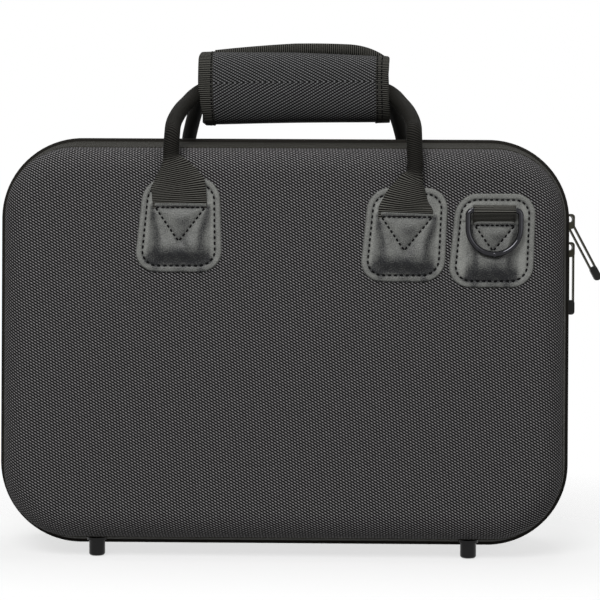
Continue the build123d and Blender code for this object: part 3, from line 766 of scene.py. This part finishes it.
# %% One leg of webbing
# Upper part of a leg: inwards from its bow, out from the middle plane, and above the case.
front_leg_path = [(0, 50, 4.4), (1.2, 39.5, 10.6), (3.1, 29, 16.0), (5.8, 18.5, 21.0), (9.0, 10.5, 26.0),
                  (13.6, 7.8, 29.6), (19.5, 7.4, 31.4), (26.0, 7.4, 32.0)]
rear_leg_path = [(0.6, 52.5, 5.8), (2.6, 44, 11.8), (5.2, 34, 18.0), (8.4, 23, 24.0), (11.5, 14, 28.0),
                 (15.5, 9, 30.4), (20.0, 7.4, 31.6), (26.0, 7.4, 32.0)]
half_webbing, tube_radius, least_curl = 16.0, 3.9, 0.03
leg_rows, leg_columns, first_tube_row = 110, 41, 40


def leg(facing, side, patch, tube_height, flat_height):
    """Points, UVs and rolled shares of one leg. side is -1 for the leg at lower X."""
    x, slot_z = patch.centre_x / MM, patch.centre_z / MM + patch.lip
    bow = x + side * 4.6
    top = case_top / MM
    run = tube_height - slot_z
    # (x, out from the middle plane, z) in millimetres, from behind the patch up to the bow
    path = [(x, 55.9, slot_z - 6), (x, 56.6, slot_z + 1), (x + side * 0.7, 57.9, slot_z + run * 0.35),
            (x + side * 2.9, 58.8, slot_z + run * 0.75), (x + side * 5.0, 58.9, tube_height + 1),
            (bow, 58.2, top - 3)]
    upper = front_leg_path if facing < 0 else rear_leg_path
    path += [(bow - side * inward, depth, top + rise) for inward, depth, rise in upper]
    path = smooth_path([Vector((px, facing * py, pz)) * MM for px, py, pz in path], leg_rows)
    frames = carried_frames(path, Vector((1, 0, 0)))
    lengths = running_lengths(path) / MM
    points, uvs, rolled = [], [], []
    for i, (centre, (across, front)) in enumerate(zip(path, frames)):
        height = centre.z / MM
        closed = min(max((height - flat_height) / (tube_height - flat_height), 0.0), 1.0)
        if i > first_tube_row:
            closed = 1.0
        half_width = half_webbing + (tube_radius - half_webbing) * closed
        # A narrow tube follows its circle. A wide arc follows the sine's series, solved for the curl.
        if half_width < 10.2:
            curl = tube_radius / half_width
        else:
            curl = max(math.sqrt(6 - 0.375 * half_width) / 4, least_curl)
        arch = 0.45 + 0.55 * smooth(curl, 0.55, 1.0)
        radius = tube_radius / curl
        for k in range(leg_columns):
            share = k / (leg_columns - 1)
            strip = half_webbing * (2 * share - 1)
            spiral = radius + curl * 0.75 * (share - 0.5)
            sideways = spiral * math.sin(strip / radius)
            forward = (spiral * math.cos(strip / radius) - radius) * arch + tube_radius * curl
            points.append(centre + (across * sideways + front * (facing * forward)) * MM)
            uvs.append((strip, lengths[i]))
        rolled += [smooth(height, tube_height - 4.0, tube_height + 1.5)] * leg_columns
    return points, uvs, rolled


print("a leg has", leg_rows * leg_columns, "points")


# %% Webbing of both handles
def handle_webbing(name, facing, body, drops):
    """Both legs as one piece. drops are how far below the case's top each one is a tube, and flat."""
    points, faces, uvs, rolled = [], [], [], []
    for side, place in ((-1, "left"), (1, "right")):
        tube_height, flat_height = (case_top / MM - drop for drop in drops[place])
        faces += grid_faces(leg_rows, leg_columns, first=len(points))
        leg_values = leg(facing, side, patches[f"{body}_{place}_patch"], tube_height, flat_height)
        for values, more in zip((points, uvs, rolled), leg_values):
            values += more
    piece = make_piece(name, points, faces, leg_webbing, None, uvs,
                       [f"{body}_strap", f"{body}_handle_tabs"])
    add_values(piece, "rolled", rolled)
    add_thickness(piece, 1.5 * MM)
    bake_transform(piece)
    return piece


case_top = rim_high.z
leg_drops = {"left": (15.6, 31.4), "right": (24.3, 46.0)}
for side, facing, body in halves:
    legs = handle_webbing(f"{side}_webbing", facing, body, leg_drops)
    print(legs.name, len(legs.data.vertices), "points")

# %% [markdown]
# ## The padded grip
#
# The grip is a padded panel rolled round both handles and closed with hook and loop. It is made in two
# halves, one on each handle, so that it can part as the handles part. Each half is an oval section
# pulled along X, with a slight bow, a crease where it folds, and ribbed tape round its ends.

# %% Shape of the grip
pad_low, pad_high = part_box("lid_grip_pad")
tape_low, tape_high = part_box("lid_grip_tapes")
grip_x, grip_half = (tape_low.x + tape_high.x) / 2, (tape_high.x - tape_low.x) / 2
grip_z, grip_half_z = (pad_low.z + pad_high.z) / 2, (pad_high.z - pad_low.z) / 2
grip_half_y = 14 * MM
grip_gap = 0.05 * MM  # each half stays this far from the middle plane


def grip_point(facing, along, angle, growth):
    """A point of the grip's outside. along is from -1 to 1, angle from -90 at the bottom to 90."""
    low_part, high_part = smooth(-angle, 10, 80), smooth(angle, 10, 80)
    turn = math.radians(angle)
    to_left, to_right = max(-along, 0), max(along, 0)
    # In mm: the underside bows up, the top falls to the right, and the end tapes draw it in.
    bow = (0.7 * (1 - along ** 2) + 1.1 * along) * low_part - 2.2 * high_part * to_right
    crease = 0.8 * ridge(along + 0.14, 0.05) * ridge(angle - 20, 28)
    pinch = 1.3 * abs(along) ** 6
    sag = 0.45 * math.sin(along * 7 + 1.3) * math.cos(turn)
    out = abs(math.cos(turn)) ** 0.8 * (grip_half_y + growth - (pinch + crease - sag) * MM)
    up = math.copysign(abs(math.sin(turn)) ** 0.92, turn) * (grip_half_z + growth - pinch * 0.4 * MM)
    # Its ends are not cut square: the left one slants, the right one ripples, the top corners lean.
    slant = 4.2 * to_left ** 8 * smooth(-angle, -5, 85)
    ripple = to_right ** 8 * (1.5 * ridge(angle - 8, 38) - 0.5 * math.sin(angle / 9) * high_part)
    corner = 2.0 * (to_left ** 40 - to_right ** 40) * smooth(angle, 45, 90)
    x = grip_x + along * grip_half + (slant - ripple + corner) * MM
    return x, facing * max(out, grip_gap), grip_z + up + bow * MM


print("middle of its front:", grip_point(-1, 0.0, 0.0, 0.0))


# %% Grip
def grip_section(facing, along, growth, rise):
    """Closed section: round the outside from below, up the bound edge, and back along the flat."""
    section = [grip_point(facing, along, angle, growth) for angle in np.linspace(-90, 90, 33)]
    x, _, top = section[-1]
    if rise > 0:
        section[-1] = (x, facing * 3.6 * MM, top)
        section += [(x, facing * 3.4 * MM, top + rise * 0.5), (x, facing * 3.2 * MM, top + rise),
                    (x, facing * 2.0 * MM, top + rise + 0.5 * MM), (x, facing * 0.9 * MM, top + rise)]
    else:
        section += [(x, facing * grip_gap, top)] * 4
    bottom = section[0][2]
    recess = 1.3 * MM if growth == 0 else grip_gap  # it leaves room for the hook and loop
    for share in (0.04, 0.11, 0.15, 0.4, 0.6, 0.85, 0.89, 0.96):
        depth = recess if 0.14 < share < 0.86 else grip_gap
        section.append((x, facing * depth, top + (bottom - top) * share))
    return section


def grip_part(name, facing, handle, stretch, growth, material, nodes, stops_per_unit=60):
    """Sections between two places along the grip, closed at both ends."""
    stops = np.linspace(*stretch, max(4, round((stretch[1] - stretch[0]) * stops_per_unit)))
    points, uvs = [], []
    for along in stops:
        rise = rear_rise(along) if facing > 0 and growth == 0 else 0.0
        section = grip_section(facing, along, growth, rise)
        points += section
        for point, length in zip(section, running_lengths(section) / MM):
            uvs.append((point[0] / MM if material is herringbone else length, length))
    columns = len(section)
    faces = grid_faces(len(stops), columns, close_columns=True)
    faces += [tuple(range(columns)), tuple(range(len(points) - columns, len(points)))]
    return make_piece(name, points, faces, material, handle, uvs, nodes)


def rear_rise(along):
    """How far the rear panel's bound edge stands up above the front, in metres."""
    shoulder = max(0.0, 1 - (max(along - 0.55, 0) / 0.4) ** 2.2)
    climb = smooth(along, -0.95, 0.5) ** 0.55
    return (0.3 + 5.6 * climb) * MM * shoulder


def edge_binding(along):
    """The rear panel's top edge is bound in ribbed tape: a slim bead along the edge."""
    x, _, top = grip_point(1, along, 90, 0.0)
    top += rear_rise(along)
    corners = [(4.0, -5.5), (4.3, -2.0), (3.9, 0.6), (2.6, 1.3), (0.7, 0.9), (0.1, -1.5), (0.1, -5.5)]
    return [(x, depth * MM, top + lift * MM) for depth, lift in corners]


for side, facing, body in halves:
    handle = f"{side}_handle"
    pad = grip_part(f"{side}_grip_pad", facing, handle, (-0.97, 0.97), 0.0, herringbone,
                    [f"{body}_grip_pad"])
    for end, stretch in (("left", (-1.0, -0.85)), ("right", (0.85, 1.0))):
        grip_part(f"{side}_{end}_grip_tape", facing, handle, stretch, 0.6 * MM, binding_tape,
                  [f"{body}_grip_tapes"])
print("grip", round(2000 * grip_half), "mm long, in two halves")


# %% Stitches and binding of the grip
def grip_stitches(name, facing, handle, places):
    """Rows of stitches that hold the end tapes: short bars lying round the grip."""
    points, faces = [], []
    for along in places:
        for angle in np.arange(-80, 84, 6.5):
            sections = []
            for step, radius in ((-2.2, 0.15), (-1.2, 0.42), (1.2, 0.42), (2.2, 0.15)):
                x, y, z = grip_point(facing, along, angle + step, 0.75 * MM)
                sections.append([(x + aside * radius * MM, y + facing * lift * radius * MM, z)
                                 for aside, lift in six_sides])
            add_stitch(points, faces, sections)
    return make_piece(name, points, faces, thread, handle)


grip_stitches("front_grip_stitches", -1, "front_handle", (-0.865, 0.865, 0.915))
grip_stitches("rear_grip_stitches", 1, "rear_handle", (-0.915, -0.865, 0.865))
beads = [edge_binding(along) for along in np.linspace(-0.84, 0.95, 90)]
points = [point for bead in beads for point in bead]
uvs = [(column * 2.0, point[0] / MM) for bead in beads for column, point in enumerate(bead)]
bead_faces = grid_faces(len(beads), len(beads[0]), close_columns=True)
make_piece("rear_grip_binding", points, bead_faces, binding_tape, "rear_handle", uvs)
print("grip binding", len(points), "points")

# %% [markdown]
# ## Webbing loops for the rings
#
# A strip of 25 mm webbing leaves its slot, runs up behind the ring's bar, over it, and back down in front.

# %% Ring loops and welds
def ribbon(name, line, centre_x, body, nodes, half_width=12.3 * MM, thickness=1.2 * MM, columns=9):
    """A strip of webbing carried along a line of (y, z) points."""
    points, uvs = [], []
    for (y, z), length in zip(line, running_lengths(line)):
        for aside in np.linspace(-half_width, half_width, columns):
            points.append((centre_x + aside, y, z))
            uvs.append((aside / MM, length / MM))
    faces = grid_faces(len(line), columns)
    add_thickness(make_piece(name, points, faces, webbing, body, uvs, nodes), thickness)


def ring_holder(side, facing, body, wrap_radius=2.65 * MM):
    """The loop's line goes from the slot up the back, round the bar and down the front."""
    ring_low, ring_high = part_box(f"{body}_d_ring")
    patch = patches[f"{body}_ring_patch"]
    bar_y, bar_z = (ring_low.y + ring_high.y) / 2, ring_high.z - 1.6 * MM
    slot_z = patch.centre_z + patch.lip * MM

    def near_slot(places):
        return [(facing * (half_depth + out * MM), slot_z + up * MM) for out, up in places]

    turns = np.radians(180 - np.linspace(-20, 200, 14))
    round_bar = [(bar_y + facing * wrap_radius * math.cos(turn), bar_z + wrap_radius * math.sin(turn))
                 for turn in turns]
    line = near_slot([(1.3, -5), (1.9, 0)]) + round_bar + near_slot([(4.4, 1.2), (2.4, -0.8), (1.7, -5)])
    line = [tuple(p)[1:] for p in smooth_path([(0, y, z) for y, z in line], 60)]
    ribbon(f"{side}_ring_loop", line, patch.centre_x, body, [f"{body}_ring_loop"])
    bpy.ops.mesh.primitive_uv_sphere_add(segments=16, ring_count=8, radius=1.0)
    weld = bpy.context.object
    weld.name = f"{side}_ring_weld"
    weld.scale = (1.7 * MM, 1.8 * MM, 1.9 * MM)
    weld.location = (patch.centre_x, bar_y, ring_low.z + 1.4 * MM)
    weld.data.shade_smooth()
    weld.data.materials.append(nickel)
    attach(weld, f"{side}_d_ring")


for side, facing, body in halves:
    ring_holder(side, facing, body)
print("ring loops and welds made")

# %% [markdown]
# ## Rim: binding, zip tape and coil
#
# The raw edges of each half are bound with tape. The zip's tape runs inside it, and its nylon coil is a
# row of small arches, 1.3 mm apart. The two rows are set half a step apart, as if closed into each other.
# Behind the teeth each tape has a dust flap, and the lid's flap laps in front of the base's.

# %% Rim
def rim_strip(name, facing, body, profile, stops, closed, material, nodes):
    """A closed profile of (inset, depth) in millimetres, carried round the rim."""
    loop = profile + profile[:1]
    lengths = running_lengths(loop)
    points, uvs = [], []
    for distance in stops:
        for (inset, depth), across in zip(loop, lengths):
            x, z, _, _ = rim_place(distance, inset * MM)
            points.append((x, facing * depth * MM, z))
            uvs.append((across, distance / MM))
    faces = grid_faces(len(stops), len(loop), close_rows=closed)
    return make_piece(name, points, faces, material, body, uvs, nodes)


def coil_teeth(name, facing, body, first, last, shift, tooth_pitch=1.3 * MM):
    """Arches of nylon from the tape, over the cord and down to the middle."""
    arch = [(3.4, 3.05), (2.3, 2.75), (1.9, 1.7), (2.2, 0.6), (3.2, 0.05)]
    template = [(aside * 0.42, inset + lift * 0.38, depth) for inset, depth in arch
                for aside, lift in ((-1, 0), (0, -1), (1, 0), (0, 1))]
    along, inwards, depth = np.array(template).T * MM
    points, faces = [], []
    count = round((last - first) / tooth_pitch)
    for i in range(count):
        x, z, normal_x, normal_z = rim_place(first + (last - first) * (i + 0.5 + shift) / count)
        points.append(np.column_stack([x - normal_x * inwards - normal_z * along, facing * depth,
                                       z - normal_z * inwards + normal_x * along]))
        faces += grid_faces(len(arch), 4, close_columns=True, first=i * len(template))
    return make_piece(name, np.concatenate(points), faces, coil_nylon, body,
                      None, [f"{body}_zip_coil"])


binding_profile = [(8.0, 8.8), (1.6, 8.85), (0.5, 8.5), (0.0, 7.7), (0.0, 7.1), (0.5, 6.4),
                   (1.6, 6.05), (8.0, 6.1)]
hinge_profile = [(1.1, 0.35), (0.15, 0.4), (0.0, 1.2), (0.05, 5.4), (0.9, 5.8), (1.15, 5.8)]


def tape_profile(flap_inset, flap_end, flap_thickness=0.5):
    """The tape's edge turns in beside the teeth, and its dust flap reaches the middle behind them."""
    inner_inset = flap_inset - flap_thickness
    return [(3.5, 3.2), (2.7, 3.3), (2.6, 4.5), (2.8, 6.05), (flap_inset, 6.05), (flap_inset, flap_end),
            (inner_inset, flap_end), (inner_inset, 5.9), (3.6, 5.9), (3.5, 4.5)]


tape_profiles = {"lid": tape_profile(8.0, -1.2), "base": tape_profile(9.2, 0.1)}
whole_rim = rim_stops(0, rim_length, 4 * MM)[:-1]
zip_first = straight_x - 6 * MM
zip_last = rim_length - zip_first
zip_run = rim_stops(zip_first, zip_last, 4 * MM)
hinge_run = rim_stops(-straight_x + 10 * MM, straight_x - 10 * MM, 6 * MM)
for side, facing, body in halves:
    rim_strip(f"{side}_binding", facing, body, binding_profile, whole_rim, True,
              rim_tape, [f"{body}_binding"])
    rim_strip(f"{side}_zip_tape", facing, body, tape_profiles[body], zip_run, False,
              zip_cloth, [f"{body}_zip_tape"])
    rim_strip(f"{side}_hinge_leaf", facing, body, hinge_profile, hinge_run, False,
              binding_tape, [f"{body}_hinge_leaf"])
    teeth = coil_teeth(f"{side}_zip_coil", facing, body, zip_first + 5 * MM, zip_last - 5 * MM,
                       shift=0.0 if body == "lid" else 0.5)
    print(teeth.name, len(teeth.data.polygons), "faces")

# %% [markdown]
# ## Inside: plush lining, fitted tray and lid pad
#
# The tray is one height field: for each well a rounded hollow with soft upper and lower edges. The plush
# lining follows the shell, set in by the thickness of cover and foam. The pad in the lid is quilted.

# %% Plush lining
lining_offset = 5.6 * MM
for side, facing, body in halves:
    lining = shell_skin(f"{side}_lining", facing, body, lining_offset, 1.4 * MM, black_plush,
                        [f"{body}_lining"], seam=False)
    print(lining.name, len(lining.data.vertices), "points")


# %% Fitted tray
def well_box(opening):
    """Middle and half sizes of an opening in millimetres, seen from the front."""
    low, high = np.array(opening["box_m"])[:, [0, 2]] / MM
    return (*(low + high) / 2, *(high - low) / 2)


openings = frame["record"]["physics"]["openings"]
wells = [well_box(opening) for opening in openings if opening["name"].endswith("_well")]
tray_low, tray_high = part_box("insert_tray")
tray_middle_z = (tray_low.z + tray_high.z) / 2 / MM
tray_half_x, tray_half_z = tray_high.x / MM, (tray_high.z - tray_low.z) / 2 / MM
tray_face, tray_corner = 9.2, 40.0
well_depth, well_margin, well_corner = 26.6, 3.8, 12.0


def tray_depth(x, z):
    """How far the tray's plush lies behind its upper face, in millimetres."""
    depth = np.zeros_like(x)
    for middle_x, middle_z, half_x, half_z in wells:
        inside = -rounded_distance(x - middle_x, z - middle_z, half_x + well_margin,
                                   half_z + well_margin, well_corner)
        depth = np.maximum(depth, well_depth * smooth(inside, -0.5, 5.5))
    rim = -rounded_distance(x, z - tray_middle_z, tray_half_x, tray_half_z, tray_corner)
    return np.maximum(depth, 2.2 * (1 - smooth(rim, 0.0, 4.0)))


def plush_tray(rows=150, columns=214):
    v_lines = np.linspace(-tray_half_z, tray_half_z, rows)
    x, z = rounded_rows(v_lines, tray_half_x, tray_half_z, tray_corner, columns)
    z = z + tray_middle_z
    y = tray_face + tray_depth(x, z)
    points = np.column_stack([x.ravel(), y.ravel(), z.ravel()]) * MM
    tray = make_piece("plush_tray", points, grid_faces(rows, columns), black_plush,
                      "base", None, ["insert_tray"])
    add_thickness(tray, 3 * MM, -1)
    return tray


print("tray", len(plush_tray().data.vertices), "points")


# %% Pad in the lid
def quilted_pad(rows=90, columns=130, radius=28.0, quilt_pitch=46):
    """A front that swells between crossing rows of quilting, and a flat back."""
    low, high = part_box("lid_pad")
    half_x, half_z = (high.x - low.x) / 2 / MM, (high.z - low.z) / 2 / MM
    middle_z = (high.z + low.z) / 2 / MM
    x, z = rounded_rows(np.linspace(-half_z, half_z, rows), half_x, half_z, radius, columns)
    edge = -rounded_distance(x, z, half_x, half_z, radius)
    wave_number = math.pi / quilt_pitch
    quilt = np.abs(np.sin((x + z) * wave_number) * np.sin((x - z) * wave_number)) ** 0.35
    rise = 8.6 * smooth(edge, -1.5, 9.0) * (0.72 + 0.28 * quilt)
    front = np.column_stack([x.ravel(), (low.y / MM + 0.3 + rise).ravel(), (z + middle_z).ravel()])
    back = front.copy()
    back[:, 1] = low.y / MM + 0.2
    offset = rows * columns
    faces = grid_faces(rows, columns) + grid_faces(rows, columns, first=offset)
    numbers = np.arange(offset).reshape(rows, columns)
    border = [numbers[0], numbers[1:, -1], numbers[-1, -2::-1], numbers[-2:0:-1, 0]]
    border = np.concatenate(border).tolist()
    faces += [(a, b, offset + b, offset + a) for a, b in zip(border, border[1:] + border[:1])]
    pad = make_piece("quilted_lid_pad", np.concatenate([front, back]) * MM, faces, black_plush,
                     "lid", None, ["lid_pad"])
    return pad


print("pad", len(quilted_pad().data.vertices), "points")

# %% [markdown]
# ## Camera, floor and light
#
# The camera stands 0.9 m in front of the lid, a little to the right of the middle, and looks level.
# The surroundings are white, with large soft lamps: the key lamp stands above the camera, so that what
# faces it shines and what falls away below goes dark. A second lamp fills from the right, a third from above.

# %% Camera
camera_data = bpy.data.cameras.new("camera")
camera_data.lens = 91.1  # mm, on a sensor 36 mm wide
camera_data.sensor_width = 36
camera_data.clip_start = 0.05
camera = bpy.data.objects.new("camera", camera_data)
bpy.context.scene.collection.objects.link(camera)
camera.location = (0.020, -0.950, 0.1592)
looks_at = Vector((0.0094, 0.0, 0.1546))
turn = (looks_at - camera.location).to_track_quat("-Z", "Y").to_matrix().to_4x4()
roll = Matrix.Rotation(math.radians(0.33), 4, "Z")
camera.matrix_world = Matrix.Translation(camera.location) @ turn @ roll
bpy.context.scene.camera = camera
bpy.context.scene.view_settings.view_transform = "Standard"
print("camera at", [round(c, 3) for c in camera.location])


# %% Lamps and white surroundings
def soft_lamp(name, place, size, watts, target=(0, 0, 0.15)):
    """A round area lamp that faces the middle of the case."""
    data = bpy.data.lights.new(name, "AREA")
    data.shape = "DISK"
    data.size = size
    data.energy = watts
    lamp = bpy.data.objects.new(name, data)
    bpy.context.scene.collection.objects.link(lamp)
    lamp.location = place
    lamp.rotation_euler = (Vector(target) - Vector(place)).to_track_quat("-Z", "Y").to_euler()


soft_lamp("key_lamp", (-0.25, -1.05, 0.85), 0.6, 13.5)
soft_lamp("fill_lamp", (0.75, -1.0, 0.45), 0.8, 3)
soft_lamp("top_lamp", (0.05, 0.1, 1.25), 0.6, 5)

world = bpy.data.worlds.new("white_room")
bpy.context.scene.world = world
world.use_nodes = True
world.node_tree.nodes.clear()
node = functools.partial(add_node, world.node_tree)
seen = node("LightPath", output="Is Camera Ray")
for kind_of_ray in ("Is Transmission Ray", "Is Glossy Ray"):
    seen = node("Math", seen, node("LightPath", output=kind_of_ray), operation="MAXIMUM")
white = colour("#ffffff")
soft_grey = node("Background", sockets={"Color": white, "Strength": 0.24})
full_white = node("Background", sockets={"Color": white, "Strength": 1.0})
node("OutputWorld", node("MixShader", seen, soft_grey, full_white))
print("lamps:", [lamp.name for lamp in bpy.data.lights])

# %% [markdown]
# The floor is pale paper. It takes the case's shadow near by and clears away further out, so that the
# white surroundings have no edge.

# %% Floor
bpy.ops.mesh.primitive_plane_add(size=4, location=(0, 0, -0.5 * MM))
floor = bpy.context.object
floor.name = "floor"
paper, node, shader = new_material("pale_paper", Base_Color=colour("#f6f6f6"), Roughness=0.9)
place = node("TexCoord", output="Object")
flat = node("VectorMath", place, (1.0, 1.2, 0.0), operation="MULTIPLY")
radius = node("VectorMath", flat, operation="LENGTH", output="Value")
fade = node("MapRange", sockets={
    "Value": radius, "From Min": 0.22, "From Max": 0.55, "To Min": 0.7, "To Max": 1.0})
paper_shader = paper.node_tree.nodes["Principled BSDF"].outputs[0]
node("MixShader", fade, paper_shader, node("BsdfTransparent"),
     feeds=paper.node_tree.nodes["Material Output"].inputs["Surface"])
floor.data.materials.append(paper)

# %% [markdown]
# ## Finishes of the construction's own parts
#
# What is hard keeps its construction shape and only gets a finish. The end of a node's name says what it
# is. Nodes that a soft piece stands for are hidden, and get a finish all the same.

# %% Finishes of the construction's own parts
finishes = {
    "core": shell_foam, "lining": black_plush, "binding": rim_tape, "zip_tape": zip_cloth,
    "zip_coil": coil_nylon, "zip_stops": steel, "hinge_leaf": binding_tape, "feet": foot_plastic,
    "foot_screws": steel, "patch": leather, "handle_tabs": webbing, "ring_loop": webbing,
    "d_ring": nickel, "strap": leg_webbing, "grip_pad": herringbone, "grip_tapes": binding_tape,
    "grip_fastener": hook_tape, "insert_tray": black_plush, "lid_pad": black_plush,
    "slider": zip_metal, "pull_loop": zip_metal, "pull_tip": tip_plastic,
}
for name, piece in frame["nodes"].items():
    kind = max((key for key in finishes if name.endswith(key)), key=len, default=None)
    if kind:
        piece.data.materials.clear()
        piece.data.materials.append(finishes[kind])
print(len(frame["nodes"]), "nodes looked at")
